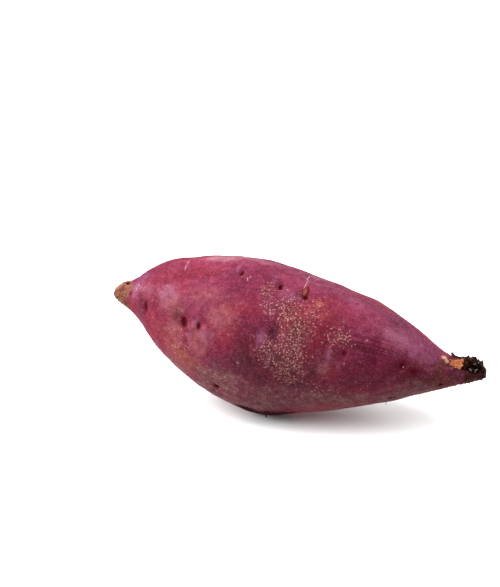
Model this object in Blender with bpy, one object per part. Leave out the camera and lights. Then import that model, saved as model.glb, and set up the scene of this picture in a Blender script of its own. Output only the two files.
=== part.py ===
"""A whole purple-skinned sweet potato, lying on its belly.

The storage root grew as one piece, so it is one solid: a spindle lofted through control rings, with uneven
lobes, rows of eyes where side roots left the skin, a blunt corky root end and a snapped, hollowed stem end.
It lies along X with the stem end at +X. Sizes are in millimetres until the mesh is made, and angles round
the root run from straight up, towards the front (-Y).
"""

import math

import bmesh
import bpy
import numpy as np

NODE = "sweet_potato"
METRES = 0.001

# Driving sizes.
LENGTH = 165.0
BELLY = 34.0
SIDE_BEND, BEND_TURNS, BEND_START = 2.2, 0.8, 0.4
FLAT_DEPTH = 0.8

# Control rings of the loft, a cubic B-spline that runs close to them, from the root end to the stem end:
# distance along as a share of LENGTH, then height of the centre and radius as shares of BELLY.
CONTROL_RINGS = [
    (0.000, 1.29, 0.00),
    (0.002, 1.29, 0.02),
    (0.012, 1.32, 0.09),
    (0.033, 1.32, 0.15),
    (0.064, 1.29, 0.21),
    (0.103, 1.30, 0.38),
    (0.152, 1.22, 0.59),
    (0.206, 1.14, 0.73),
    (0.273, 1.05, 0.86),
    (0.352, 0.98, 0.94),
    (0.436, 0.91, 1.00),
    (0.527, 0.92, 0.89),
    (0.618, 0.90, 0.80),
    (0.709, 0.93, 0.67),
    (0.794, 0.89, 0.49),
    (0.867, 0.82, 0.29),
    (0.918, 0.81, 0.17),
    (0.955, 0.86, 0.165),
    (0.982, 0.88, 0.13),
    (0.997, 0.84, 0.05),
    (1.000, 0.84, 0.00),
]

# Lobes that take the section off a true circle: lobes round it, share of the radius, phase in degrees and
# twist in degrees for each millimetre along.
LOBES = [
    (2, 0.022, 158, 0.3),
    (3, 0.018, -42, 1.1),
    (5, 0.007, 152, -1.9),
    (2, 0.006, -17, 6.0),
    (3, 0.005, 76, -8.0),
    (1, 0.006, 170, 9.0),
]

# Eyes on the front: distance along, angle, half lengths round and along, depth. A negative depth is a knob.
FRONT_EYES = [
    (8.0, 18, 1.2, 1.0, 0.4),
    (22.0, 78, 3.4, 3.0, 0.8),
    (36.5, 15, 3.2, 1.3, 0.3),
    (42.0, 72, 4.2, 3.6, 1.3),
    (50.0, 68, 3.4, 2.8, 1.0),
    (58.0, 117, 2.2, 2.4, 0.6),
    (62.0, 17, 2.6, 1.8, 0.6),
    (79.0, 19, 2.8, 2.4, 0.7),
    (82.0, 63, 5.0, 4.4, 1.1),
    (90.5, 20, 3.4, 2.2, 0.6),
    (103.0, 64, 4.4, 3.6, 0.9),
    (111.0, 69, 3.6, 3.2, 0.9),
    (123.0, 73, 4.0, 3.4, 0.7),
    (128.5, 140, 2.4, 2.0, 0.5),
    (133.0, 72, 3.8, 3.4, 0.9),
    (148.5, 30, 1.6, 1.9, -0.7),
]

# Rows of eyes on the sides that face away: angle, first and last distance along. Then their spacing, how far
# each is shifted along and turned round, and their half length, its share along the root, and depth.
BACK_ROWS = [(-46, 34, 128), (-84, 24, 140), (-122, 40, 122), (172, 96, 136)]
BACK_SPACING, BACK_SHIFT, BACK_TURN = 21.0, 5.0, 9.0
BACK_SIZE, BACK_SHAPE, BACK_DEPTH = (2.4, 4.2), (0.7, 0.95), (0.5, 1.1)
BACK_SEED = 7

# The snapped stem: where the break plane crosses the middle, the side it faces, its lean off the axis, how
# far it stands above the middle, and the hollow worn into it, rounder at a lower power. Only the skin beyond
# BREAK_FROM is touched, the rim has uneven lobes, and the hollow fades in over RIM_BLEND.
BREAK_FROM = 152.0
BREAK_ALONG = 160.0
BREAK_ANGLE = 48.0
BREAK_LEAN = 25.0
BREAK_HEIGHT = 4.0
HOLLOW_LONG, HOLLOW_WIDE, HOLLOW_DEPTH, HOLLOW_POWER = 4.2, 3.5, 2.0, 3
RAGGED_RIM, RIM_LOBES = 0.3, 5
RIM_BLEND = 1.0

# Mesh density: points round a ring, and the step between rings at a tip and where the root is fattest.
POINTS_ROUND = 56
TIP_STEP, BELLY_STEP = 0.9, 2.6
SPLINE_SAMPLES = 4000

SKIN_COLOUR = (0.30, 0.045, 0.10, 1.0)
SKIN_ROUGHNESS = 0.5


def clear_scene():
    for obj in list(bpy.data.objects):
        bpy.data.objects.remove(obj)


def spline_samples():
    """Rows of distance along, height of the centre and radius, closely spaced down the whole loft."""
    rings = np.array(CONTROL_RINGS) * (LENGTH, BELLY, BELLY)
    # Mirroring the second ring through each tip makes the radius close to zero there with a round end.
    mirrored = (1, 1, -1)
    rows = np.vstack([rings[1] * mirrored, rings, rings[-2] * mirrored])
    place = np.linspace(0, len(rings) - 1, SPLINE_SAMPLES)
    first = np.minimum(place.astype(int), len(rings) - 2)
    f = place - first
    weights = ((1 - f) ** 3, 3 * f**3 - 6 * f**2 + 4, -3 * f**3 + 3 * f**2 + 3 * f + 1, f**3)
    return sum(w[:, None] * rows[first + k] for k, w in enumerate(weights)) / 6


def ring_rows():
    """The samples that become rings: close together where the root is thin."""
    samples = spline_samples()
    gaps = np.linalg.norm(np.diff(samples, axis=0), axis=1)
    radius = samples[1:, 2]
    steps = gaps / (TIP_STEP + (BELLY_STEP - TIP_STEP) * radius / BELLY)
    count = np.concatenate([[0.0], np.cumsum(steps)])
    wanted = np.linspace(0, count[-1], round(count[-1]) + 1)
    return np.stack([np.interp(wanted, count, samples[:, k]) for k in range(3)], axis=1)


def back_eyes():
    """Eyes in loose rows on the sides away from the front, with a seeded jitter."""
    rng = np.random.default_rng(BACK_SEED)
    eyes = []
    for angle, first, last in BACK_ROWS:
        for along in np.arange(first, last, BACK_SPACING):
            size = rng.uniform(*BACK_SIZE)
            eyes.append(
                (
                    along + rng.uniform(-BACK_SHIFT, BACK_SHIFT),
                    angle + rng.uniform(-BACK_TURN, BACK_TURN),
                    size,
                    size * rng.uniform(*BACK_SHAPE),
                    rng.uniform(*BACK_DEPTH),
                )
            )
    return eyes


def surface_radius(along, angle, radius):
    """Radius of the skin at each place: the loft's own, with its lobes and eyes."""
    shares = [
        share * np.cos(lobes * angle + np.radians(phase + twist * along))
        for lobes, share, phase, twist in LOBES
    ]
    skin = radius * (1 + sum(shares))
    for eye_along, eye_angle, half_round, half_along, depth in FRONT_EYES + back_eyes():
        turn = (angle - math.radians(eye_angle) + math.pi) % math.tau - math.pi
        spread = (turn * radius / half_round) ** 2 + ((along - eye_along) / half_along) ** 2
        skin = skin - depth * np.exp(-spread)
    return skin


def skin_points():
    """Points of the skin, ring by ring, before the stem is broken and the belly flattened."""
    rows = ring_rows()
    along, height, radius = (rows[:, k, None] for k in range(3))
    angle = np.linspace(0, math.tau, POINTS_ROUND, endpoint=False)[None, :]
    skin = surface_radius(along, angle, radius)
    sideways = SIDE_BEND * np.sin(math.tau * BEND_TURNS * along / LENGTH + BEND_START)
    x = along + np.zeros_like(angle)
    return np.stack([x, sideways - skin * np.sin(angle), height + skin * np.cos(angle)], axis=2)


def break_stem(points):
    """Cuts the stem end down to a leaning break and hollows it, leaving a ragged rim."""
    lean, turn = math.radians(BREAK_LEAN), math.radians(BREAK_ANGLE)
    forwards = np.array([1, 0, 0])
    outwards = np.array([0, -math.sin(turn), math.cos(turn)])
    normal = math.sin(lean) * forwards + math.cos(lean) * outwards
    lengthways = math.cos(lean) * forwards - math.sin(lean) * outwards
    across = np.cross(normal, lengthways)
    ring = np.abs(points[:, 0, 0] - BREAK_ALONG).argmin()
    middle = points[ring].mean(axis=0) + BREAK_HEIGHT * outwards

    offset = points - middle
    u, v = offset @ lengthways / HOLLOW_LONG, offset @ across / HOLLOW_WIDE
    from_middle = np.hypot(u, v)
    rim = RAGGED_RIM * np.sin(RIM_LOBES * np.arctan2(v, u)) * np.minimum(from_middle, 1)
    over = offset @ normal - rim
    inside = np.clip((over + RIM_BLEND / 2) / RIM_BLEND, 0, 1)
    hollow = HOLLOW_DEPTH * np.clip(1 - from_middle**HOLLOW_POWER, 0, 1) * inside
    cut = np.where(points[..., 0] > BREAK_FROM, np.maximum(over, 0) + hollow, 0)
    # Pushing every point the same way, square to the root's length, keeps the rings from folding over.
    return points - cut[..., None] / math.cos(lean) * outwards


def set_down(points):
    """Flattens the belly where it rests and puts the origin on the floor under the middle of the root."""
    points = points + (0, 0, -points[..., 2].min() - FLAT_DEPTH)
    points[..., 2] = np.maximum(points[..., 2], 0)
    low, high = points.min(axis=(0, 1)), points.max(axis=(0, 1))
    return points - ((low + high) / 2) * (1, 1, 0)


def make_mesh(points):
    """One closed skin: quads between the rings and a fan on each tip."""
    bm = bmesh.new()
    tips = [bm.verts.new(points[k].mean(axis=0) * METRES) for k in (0, -1)]
    rings = [[bm.verts.new(p * METRES) for p in ring] for ring in points[1:-1]]
    for one, two in zip(rings, rings[1:]):
        for k in range(POINTS_ROUND):
            bm.faces.new((one[k - 1], one[k], two[k], two[k - 1]))
    for k in range(POINTS_ROUND):
        bm.faces.new((tips[0], rings[0][k], rings[0][k - 1]))
        bm.faces.new((tips[1], rings[-1][k - 1], rings[-1][k]))
    bmesh.ops.recalc_face_normals(bm, faces=bm.faces)
    mesh = bpy.data.meshes.new(NODE)
    bm.to_mesh(mesh)
    bm.free()
    mesh.shade_smooth()
    return mesh


def skin_material():
    material = bpy.data.materials.new("purple_skin")
    material.use_nodes = True
    shader = material.node_tree.nodes["Principled BSDF"]
    shader.inputs["Base Color"].default_value = SKIN_COLOUR
    shader.inputs["Roughness"].default_value = SKIN_ROUGHNESS
    shader.inputs["Metallic"].default_value = 0.0
    material.diffuse_color = SKIN_COLOUR
    return material


def main():
    clear_scene()
    mesh = make_mesh(set_down(break_stem(skin_points())))
    mesh.materials.append(skin_material())
    root = bpy.data.objects.new(NODE, mesh)
    bpy.context.scene.collection.objects.link(root)


main()
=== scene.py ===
import math

import bpy
import numpy as np
from mathutils import Matrix, Vector


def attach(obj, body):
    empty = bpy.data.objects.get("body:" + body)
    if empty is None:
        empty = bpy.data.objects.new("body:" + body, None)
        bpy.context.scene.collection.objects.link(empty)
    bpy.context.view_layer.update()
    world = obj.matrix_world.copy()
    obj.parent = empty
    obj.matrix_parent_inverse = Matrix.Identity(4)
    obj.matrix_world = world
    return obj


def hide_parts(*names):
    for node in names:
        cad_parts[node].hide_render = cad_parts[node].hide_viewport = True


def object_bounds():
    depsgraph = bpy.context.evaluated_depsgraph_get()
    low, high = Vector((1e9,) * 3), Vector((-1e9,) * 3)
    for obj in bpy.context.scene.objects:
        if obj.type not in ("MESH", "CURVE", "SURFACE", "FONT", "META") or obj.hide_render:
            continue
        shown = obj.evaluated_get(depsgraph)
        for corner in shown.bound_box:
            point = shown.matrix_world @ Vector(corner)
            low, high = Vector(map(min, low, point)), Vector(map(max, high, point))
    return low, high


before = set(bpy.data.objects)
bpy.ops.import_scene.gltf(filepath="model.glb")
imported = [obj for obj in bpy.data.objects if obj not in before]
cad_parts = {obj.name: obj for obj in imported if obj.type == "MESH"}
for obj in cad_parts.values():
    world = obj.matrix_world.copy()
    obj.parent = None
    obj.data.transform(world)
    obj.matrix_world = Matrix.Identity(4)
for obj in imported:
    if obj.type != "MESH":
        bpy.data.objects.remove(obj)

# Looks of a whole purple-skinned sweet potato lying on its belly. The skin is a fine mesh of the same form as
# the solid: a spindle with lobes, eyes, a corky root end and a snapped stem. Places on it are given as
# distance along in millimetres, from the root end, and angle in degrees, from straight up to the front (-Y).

NODE = "sweet_potato"
METRES = 0.001
CAD_BOX = [list(corner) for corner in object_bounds()]
BOX_LOW, BOX_HIGH = (np.array(corner) / METRES for corner in CAD_BOX)

# Form of the root, as in the solid.
LENGTH = 165.0
BELLY = 34.0
SIDE_BEND, BEND_TURNS, BEND_START = 2.2, 0.8, 0.4
FLAT_DEPTH = 0.8

# Control rings: distance along as a share of LENGTH, height of the centre and radius as shares of BELLY.
CONTROL_RINGS = [
    (0, 1.29, 0), (0.002, 1.29, 0.02), (0.012, 1.32, 0.09), (0.033, 1.32, 0.15),
    (0.064, 1.29, 0.21), (0.103, 1.3, 0.38), (0.152, 1.22, 0.59), (0.206, 1.14, 0.73),
    (0.273, 1.05, 0.86), (0.352, 0.98, 0.94), (0.436, 0.91, 1), (0.527, 0.92, 0.89),
    (0.618, 0.9, 0.8), (0.709, 0.93, 0.67), (0.794, 0.89, 0.49), (0.867, 0.82, 0.29),
    (0.918, 0.81, 0.17), (0.955, 0.86, 0.165), (0.982, 0.88, 0.13), (0.997, 0.84, 0.05),
    (1, 0.84, 0),
]

# Lobes: lobes round the section, share of the radius, phase in degrees, twist in degrees a millimetre.
LOBES = [
    (2, 0.022, 158, 0.3), (3, 0.018, -42, 1.1), (5, 0.007, 152, -1.9), (2, 0.006, -17, 6.0),
    (3, 0.005, 76, -8.0), (1, 0.006, 170, 9.0),
]

# Eyes on the front: distance along, angle, half lengths round and along, depth. A negative depth is a knob.
FRONT_EYES = [
    (8, 18, 1.2, 1, 0.4), (22, 78, 3.4, 3, 0.8), (36.5, 15, 3.2, 1.3, 0.3),
    (42, 72, 4.2, 3.6, 1.3), (50, 68, 3.4, 2.8, 1.0), (58, 117, 2.2, 2.4, 0.6),
    (62, 17, 2.6, 1.8, 0.6), (79, 19, 2.8, 2.4, 0.7), (82, 63, 5, 4.4, 1.1),
    (90.5, 20, 3.4, 2.2, 0.6), (103, 64, 4.4, 3.6, 0.9), (111, 69, 3.6, 3.2, 0.9),
    (123, 73, 4, 3.4, 0.7), (128.5, 140, 2.4, 2, 0.5), (133, 72, 3.8, 3.4, 0.9),
    (148.5, 30, 1.6, 1.9, -0.7),
]
BACK_ROWS = [(-46, 34, 128), (-84, 24, 140), (-122, 40, 122), (172, 96, 136)]
BACK_SPACING, BACK_SHIFT, BACK_TURN = 21.0, 5.0, 9.0
BACK_SIZE, BACK_SHAPE, BACK_DEPTH = (2.4, 4.2), (0.7, 0.95), (0.5, 1.1)
BACK_SEED = 7

# The snapped stem, as in the solid but with a deeper and sharper hollow.
BREAK_FROM = 152.0
BREAK_ALONG = 160.0
BREAK_ANGLE = 48.0
BREAK_LEAN = 25.0
BREAK_HEIGHT = 4.0
HOLLOW_LONG, HOLLOW_WIDE, HOLLOW_DEPTH, HOLLOW_POWER = 4.2, 3.5, 2.6, 4
RAGGED_RIM, RIM_LOBES = 0.3, 5
RIM_BLEND = 0.5

# The blackened end: where it starts on top and how much further below, softness of that edge, angle of its
# top and the angles from there where top passes into below, the dark rim behind it, and how deep it is sunk.
CHAR_FROM, CHAR_BELOW, CHAR_BLEND = 155.7, 7.4, 0.3
CHAR_TOP, CHAR_SIDES = -10, (66, 104)
DARK_RIM = (155.0, 159.0)
CRUST_SINK = 0.1

# The bare strip behind it, its edges as distance along and angle, and the brown peel round it. Softness is
# in millimetres along the root and in degrees round it.
TORN_FROM, TORN_TO, TORN_DEPTH = 150.3, 156.3, 0.35
TORN_TOP = ((150.6, 17), (153.0, 4), (156.5, -2))
TORN_FOOT = ((151.0, 44), (152.4, 50), (154.1, 57), (157.2, 62))
TORN_BLEND, TORN_FADE, TORN_SOFT = 0.3, 0.8, 2
PEEL_ABOVE, PEEL_BELOW, PEEL_AHEAD, PEEL_SOFT = 24.0, 7.0, 1.0, 3

# Ripples of the hollow's edge and of the strip's, in rows of size, rate and shift.
HOLLOW_RIPPLES = [(0.10, 5, 0), (0.07, 9, 1), (0.05, 17, 0)]
START_RIPPLES, SIDE_RIPPLES = [(0.35, 9, 0), (0.25, 23, 1)], [(0.3, 31, 0)]
TOP_RIPPLES, FOOT_RIPPLES = [(2.0, 4.3, 0)], [(1.5, 3.1, 0), (1.0, 7.7, 0)]

# Relief, in rows of height, wavelength, seed and stretch along the root, and the radii where each kind sets
# in. The last two give the blackened part its edge and the masks their warp.
BODY_RELIEF, BODY_RADIUS = [(0.16, 17, 1, 1), (0.06, 6.5, 2, 1.6), (0.022, 2.8, 3, 5)], (3, 14)
END_RELIEF, END_RADIUS = [(0.12, 2.2, 4, 1), (0.1, 1.5, 5, 3)], (0, 3)
CRUST_RELIEF, CRUST_RADIUS = [(0.38, 2.2, 6, 1), (0.26, 1, 7, 1)], (0.5, 3)
CHAR_EDGE = [(0.5, 2.4, 8, 1)]
MASK_WARP = [(0.5, 9, 11, 1), (0.35, 3.2, 12, 1)]
WAVE_COUNT, WAVE_SPREAD = 28, (0.7, 1.4)

# Density of the fine mesh. Directions on it span NEIGHBOUR points each way, TIP_RINGS or more from a tip.
POINTS_ROUND = 252
TIP_STEP, BELLY_STEP = 0.22, 0.72
SPLINE_SAMPLES = 6000
NEIGHBOUR, TIP_RINGS = 2, 4

# The unrolled map, in shares: margin at each end, squeeze round the root, and how near the seam a corner
# counts as on it.
MAP_MARGIN, MAP_SQUEEZE, SEAM_SHARE = 0.01, 0.75, 0.1

# Half depth of a small mark, and radius of the straight bar that fibres are laid out on.
SPOT_REACH = 6.0
GRAIN_RADIUS = 22.0

# Colours as they would look in white light, in red, green and blue from 0 to 255.
CRIMSON = (140, 32, 56)
PURPLE = (124, 32, 66)
ROSE_PINK = (156, 62, 94)
BLOOM_AND_HIGHLIGHT = (168, 106, 130)
LAVENDER = (152, 90, 126)
SAND = (166, 96, 94)
HAZE_AND_RIM_HIGHLIGHT = (178, 134, 142)
SHADE = (104, 44, 80)
DEEP = (98, 10, 34)
DUSK_SHADE = (88, 34, 48)
VIOLET = (76, 22, 46)
HOLLOW = (74, 4, 18)
ORANGE_BROWN = (156, 74, 54)
AMBER = (186, 112, 74)
DUST = (126, 68, 80)
DUST_GREEN = (132, 106, 90)
SPECK = (206, 148, 136)
SPECK_RED = (154, 86, 90)
SPECK_GROUND = (90, 34, 42)
PALE_FLECK = (180, 104, 122)
STREAK = (224, 186, 190)
SCAR_TAN = (156, 88, 78)
SCAR_BROWN = (92, 22, 26)
HOLE = (66, 10, 14)
# Painted contact shade where the root rests on the floor.
CONTACT_SHADE = (40, 0, 14)
CORK = (152, 116, 88)
CORK_PINK = (132, 76, 64)
CORK_DARK = (96, 56, 44)
TORN = (184, 114, 78)
TORN_DARK = (122, 62, 40)
PEEL = (70, 32, 24)
LUMP = (196, 156, 122)
CHAR = (34, 14, 9)
CHAR_BROWN = (88, 48, 34)
GLINT = (176, 164, 160)
NECK_BROWN = (106, 54, 46)
RIM_BROWN = (58, 26, 20)

# Patches in the order they are painted: name, colour, cover, raggedness of the edge, and places, each as
# distance along, angle, half lengths along and round, and strength.
PATCHES = [
    ("violet", PURPLE, 0.8, 0.6, [(134, 60, 26, 26, 1), (118, -110, 30, 20, 0.8)]),
    ("rose", ROSE_PINK, 0.85, 0.9, [
        (126, 30, 12, 10, 1), (38, 78, 4, 5, 0.8), (114, 18, 13, 9, 0.8), (139, 28, 9, 10, 0.8),
        (98, 38, 13, 6, 0.4), (84, 10, 14, 9, 0.6), (74, 26, 8, 9, 0.5), (50, 44, 14, 9, 0.8),
        (35, 55, 8, 8, 0.8), (58, 60, 6, 6, 0.9), (48, 62, 3, 4, 1), (107, 36, 6, 5, 0.6),
        (48, 90, 6, 8, 0.7), (38, 97, 7, 9, 0.8), (52, 4, 20, 8, 0.8), (120, -60, 26, 13, 0.7),
        (44, -70, 18, 14, 0.7), (84, 176, 18, 12, 0.5),
    ]),
    # Deep crimson: partly darker skin, partly painted shade on the lower front and beside the eyes.
    ("deep", DEEP, 0.8, 0.9, [
        (71, 72, 7, 7, 0.9), (72, 80, 7, 6, 1), (82, 58, 3, 5, 0.7), (134, 80, 9, 5, 1),
        (120, 80, 9, 4, 0.6), (112, 62, 7, 4, 0.4), (127, 62, 8, 4, 0.6), (106, 70, 8, 6, 0.7),
        (40, 66, 5, 4, 0.9), (18.8, 82, 2.6, 7, 1), (16, 101, 5, 4, 0.5), (38.5, 70, 3, 4, 1),
        (128, 92, 16, 4, 0.5), (100, -100, 18, 10, 0.7), (52, -126, 16, 10, 0.6),
    ]),
    # Mostly painted shade: the lower front below the lit top, and the eye at 82.6 along.
    ("dusk", DUSK_SHADE, 0.85, 0.7, [
        (72, 88, 11, 7, 1), (90, 88, 14, 8, 1), (92, 62, 5, 9, 1), (100, 88, 7, 6, 0.9),
        (82, 82, 6, 9, 1), (79, 98, 7, 7, 1), (92, 99, 16, 5, 0.9), (82.6, 63, 3, 5, 1),
        (103, 78, 7, 6, 0.6), (118, 98, 12, 5, 0.7), (62, 96, 8, 6, 0.6), (140, 96, 9, 4, 0.7),
        (70, -130, 20, 10, 0.7),
    ]),
    # Pale bloom and painted highlights: on the left where the key light falls, and on the lit folds by the
    # eyes.
    ("bloom", BLOOM_AND_HIGHLIGHT, 0.8, 0.8, [
        (33, 53, 6, 6, 0.8), (22, 55, 5, 4, 0.6), (14, 50, 2.5, 4, 0.7), (48, 70, 2, 2.4, 0.7),
        (56, 74, 3, 3, 0.6), (36, 8, 0.8, 4, 0.9), (60.2, 14, 1, 3, 0.7), (129, 34, 7, 7, 0.7),
        (64, -8, 26, 5, 0.6), (105, 72, 1.4, 3.5, 0.7), (112, -52, 14, 9, 0.6), (36, -60, 9, 8, 0.6),
    ]),
    ("shade", SHADE, 0.5, 0.8, [
        (92, 0, 12, 5, 0.6), (110, 0, 14, 8, 0.9), (128, 6, 13, 6, 1), (141, 18, 8, 5, 0.9),
        (18, 24, 5, 4, 0.9),
    ]),
    # Painted rim highlight along the top edge, partly the skin's pale bloom.
    ("haze", HAZE_AND_RIM_HIGHLIGHT, 0.8, 1, [
        (51, 0, 9, 3.4, 1), (60, -5, 9, 3.2, 0.6), (36, 4, 8, 2, 0.3), (92, -12, 10, 2, 0.4),
    ]),
    # Lavender: partly skin colour, partly painted highlights on the lit folds by the eyes and painted sheen on
    # the top to the right.
    ("lavender", LAVENDER, 0.75, 0.6, [
        (16, 42, 3, 4, 0.7), (46, 80, 1.8, 2.8, 0.8), (52.5, 78, 2.2, 4.6, 0.9),
        (77.4, 67, 2.2, 4.4, 0.9), (86, 28, 7, 4, 0.6), (76.5, 14, 1, 4, 0.7), (138, 40, 6, 6, 0.6),
        (144, 50, 5, 4, 0.6), (108, 14, 5, 4, 0.4), (60, -40, 10, 8, 0.5),
    ]),
    ("sand", SAND, 0.6, 1, [
        (43, 106, 10, 9, 1), (50, 84, 6, 7, 1), (39, 84, 5, 6, 0.9), (59, 60, 7, 6, 0.9),
        (36, 62, 8, 6, 0.7), (52, 44, 12, 6, 0.5), (64, 112, 8, 6, 0.5), (110, -70, 16, 10, 0.6),
        (60, -90, 14, 10, 0.6),
    ]),
    ("russet", ORANGE_BROWN, 0.6, 1.1, [
        (43, 104, 8, 6, 1), (36, 96, 8, 5, 0.7), (60, 50, 8, 5, 0.5), (47, 46, 8, 6, 0.4),
        (92, 58, 8, 18, 0.4), (104, 88, 5, 4, 0.5), (100, 38, 12, 4, 0.5), (138, 118, 14, 5, 0.7),
        (112, 134, 22, 6, 0.8), (72, -96, 16, 9, 0.7), (124, -140, 14, 8, 0.7), (34, -150, 10, 7, 0.7),
    ]),
    ("amber", AMBER, 0.7, 0.7, [(97.4, 27, 1.5, 1.5, 1), (99.5, 32, 1, 1, 0.5)]),
    # The first place is painted shade in the eye at 82 along, beside its lavender highlight.
    ("stem", VIOLET, 0.85, 0.6, [
        (81.8, 62, 2.4, 4.2, 0.65), (145, 47, 4, 4, 0.4), (154, 86, 4, 5, 1), (158, 80, 4, 6, 1),
        (151.5, 72, 3, 2.5, 0.8),
    ]),
    ("neck", NECK_BROWN, 0.85, 0.8, [
        (146.5, 92, 3, 9, 1), (144, 118, 8, 6, 0.9), (148, 56, 2.4, 5, 0.9), (150, 110, 8, 4, 0.7),
        (140, 60, 4, 4, 0.4), (149, 165, 9, 9, 0.8), (149, -110, 8, 8, 0.7),
    ]),
]

# Crowds of tan cork specks, and places with long dark fibres, as in the patches.
CORK_SPECKS = [
    (76, 31, 2.6, 6, 0.6), (80, 42, 3, 4, 0.7), (86, 43, 5, 7, 0.9), (89, 60, 5, 10, 0.9),
    (89, 78, 6, 9, 0.9), (81, 75, 5, 5, 0.7), (96, 44, 3, 8, 0.5), (97.5, 30, 3, 3, 0.4),
    (108, 57, 5, 4, 0.65), (90, 92, 4, 4, 0.4), (42, 98, 8, 10, 0.2), (60, 107, 9, 6, 0.16),
    (104, 106, 14, 6, 0.12), (60, -62, 8, 9, 0.9), (110, -88, 9, 8, 0.8), (84, -150, 10, 10, 0.8),
]
LONG_FIBRES = [(120, 54, 12, 6, 1), (106, 48, 10, 5, 0.8), (136, 62, 8, 5, 0.6), (90, -80, 24, 14, 0.8)]

# Places that the dust underneath leaves bare, the long one by the bottom edge keeping it darker there as
# painted shade, and the painted contact shade round the spot that the root rests on.
DUST_GAPS = [(118, 104, 16, 8, 0.7), (93, 86, 11, 8, 0.9), (99, 136, 24, 8, 0.8)]
CONTACT_SHADE_PLACES = [(78, 150, 12, 9.5, 1), (69, 142, 6, 7.5, 1)]

# Where masks set in and are full, by slope, up to 1 where the skin faces down, or by distance along, and how
# far each edge wanders.
LOW_SLOPE, LOW_ALONG, LOW_WARP = (-0.16, 0.46), (38, 56), 0.08
LOWEST_SLOPE, LOWEST_ALONG, LOWEST_WARP, LOWEST_SHARE = (0.25, 0.75), (12, 40), 3, 0.8
NECK_ALONG = (140, 150)
CORK_ALONG, CORK_WARP = (7, 14), 1.2

# Noises of the skin: size in millimetres, detail, roughness, stretch along the root, and whether it follows
# the root's own length.
NOISES = {
    "broad": (24, 2),
    "cloudy": (9, 5, 0.65),
    "mottle": (3, 4, 0.65),
    "grain": (1, 2, 0.65),
    "fibres": (1.1, 3, 0.6, 7, True),
    "hoops": (2, 3, 0.6, 0.3),
    "crumb": (0.55, 1, 0.6),
    "long_fibres": (1.3, 2, 0.5, 26, True),
}

# Colours that follow a noise or a random value: where the first ends and the second is full, and the two.
TONES = {
    "body": ("broad", 0.4, 0.6, CRIMSON, PURPLE),
    "dust": ("dust", 0.44, 0.64, DUST, DUST_GREEN),
    "speck": ("speck_size", 0.1, 0.7, SPECK_RED, SPECK),
    "cork": ("mottle", 0.4, 0.62, CORK_PINK, CORK),
    "scar": ("crumb", 0.35, 0.6, SCAR_BROWN, SCAR_TAN),
    "bare": ("crumb", 0.36, 0.58, TORN_DARK, TORN),
    "burnt": ("mottle", 0.5, 0.68, CHAR, CHAR_BROWN),
}
DUST_GRAIN, DUST_CRUMB = 0.25, 0.3
CORK_GRAIN, CORK_COVER = (0.50, 0.34), 0.7

# Edges: the mask or the small marks, the noise that makes the edge ragged and how much, and where it sets in
# and is full, by the mask's strength or in half lengths from a mark. Below MASK_START a mask fades out.
PATCH_EDGE = (0.08, 0.95)
DUST_EDGE, DUST_COVER = ("underside", "cloudy", 1.0, 0.12, 0.80), 0.88
GROUND_EDGE, GROUND_COVER = ("speckled", "grain", 0.6, 0.1, 0.9), 0.6
MASK_START = 0.12

# Cork specks: size of a cell, crowding, clumping, fading in, raggedness, unevenness, where a speck ends and
# is full in its cell, and the least and the added strength.
SPECK_CELL, SPECK_CROWD, SPECK_CLUMPS, SPECK_FADE = 0.63, 2.0, 1.0, 0.1
SPECK_RAGGED, SPECK_UNEVEN, SPECK_EDGE = 1.2, -0.35, (0.54, 0.16)
SPECK_STRENGTH, SPECK_ADDED = 0.40, 0.40

# A thin pale veil over the skin, under the marks: partly its waxy bloom, partly painted sheen that stands in
# for the turned-down specular reflection.
WAXY_BLOOM_AND_SHEEN = (0.008, 0.008, 0.009, 1.0)

# Roughness and bumps: what each noise or mark adds, and how much the grain stands out on burnt or corky skin.
ROUGHNESS, SHINE = 0.46, 0.03
ROUGHER = {"mottle": 0.2, "corky": 0.3, "wet": 0.5}
BUMPS = {"mottle": 0.7, "grain": 0.35, "fibres": 0.3, "hoops": 0.25, "speck": 0.3, "pit": -1.0}
BUMP_DEPTH, BURNT_BUMP, CORK_BUMP = 0.22, 2.5, 1.2

# Fine variation in the order it is painted: its noise, the values where it sets in and is full, cover, and
# its colour or the shares that it leaves of the colour beneath. Last the long fibres.
VARIATION = [
    ("cloudy", 0.52, 0.36, 0.4, "darken", (0.72, 0.52, 0.6)),
    ("cloudy", 0.54, 0.7, 0.25, "cover", BLOOM_AND_HIGHLIGHT),
    ("mottle", 0.53, 0.36, 0.65, "darken", (0.68, 0.44, 0.54)),
    ("mottle", 0.53, 0.7, 0.3, "cover", PALE_FLECK),
    ("fibres", 0.54, 0.36, 0.4, "darken", (0.6, 0.45, 0.5)),
    ("hoops", 0.54, 0.36, 0.4, "darken", (0.6, 0.45, 0.5)),
    ("grain", 0.5, 0.34, 0.5, "darken", (0.6, 0.45, 0.5)),
    ("crumb", 0.52, 0.66, 0.22, "cover", PALE_FLECK),
    ("crumb", 0.48, 0.32, 0.45, "darken", (0.66, 0.5, 0.56)),
]
LONG_EDGE, LONG_COVER, LONG_TINT = (0.52, 0.40), 0.9, (0.6, 0.3, 0.42)

# Dark cores of the eyes, as places in the patches: partly the eyes' own dark colour, partly painted shade in
# their hollows.
EYE_CORES = [
    (42.4, 72.5, 1.5, 2.3, 1), (49.6, 71, 1.1, 1.9, 0.75), (21.6, 79, 0.9, 2.6, 0.9),
    (82.8, 63, 1.4, 3.4, 0.3), (103, 64, 1.6, 2.2, 0.4), (110.7, 70, 1.2, 1.6, 0.6),
    (122.8, 74, 1.1, 2.6, 0.45), (133, 74, 1.6, 2, 0.6), (137.5, 80, 3, 2, 0.5),
    (107.5, 18, 1.6, 1.2, 0.4), (111.5, 13, 1.2, 1, 0.4),
]

# On the other sides, size and strength of a core as shares of the eye's. Then how deep all cores are sunk.
CORE_SHARE, CORE_STRENGTH, CORE_DEPTH = 0.42, 0.75, 0.6

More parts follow.
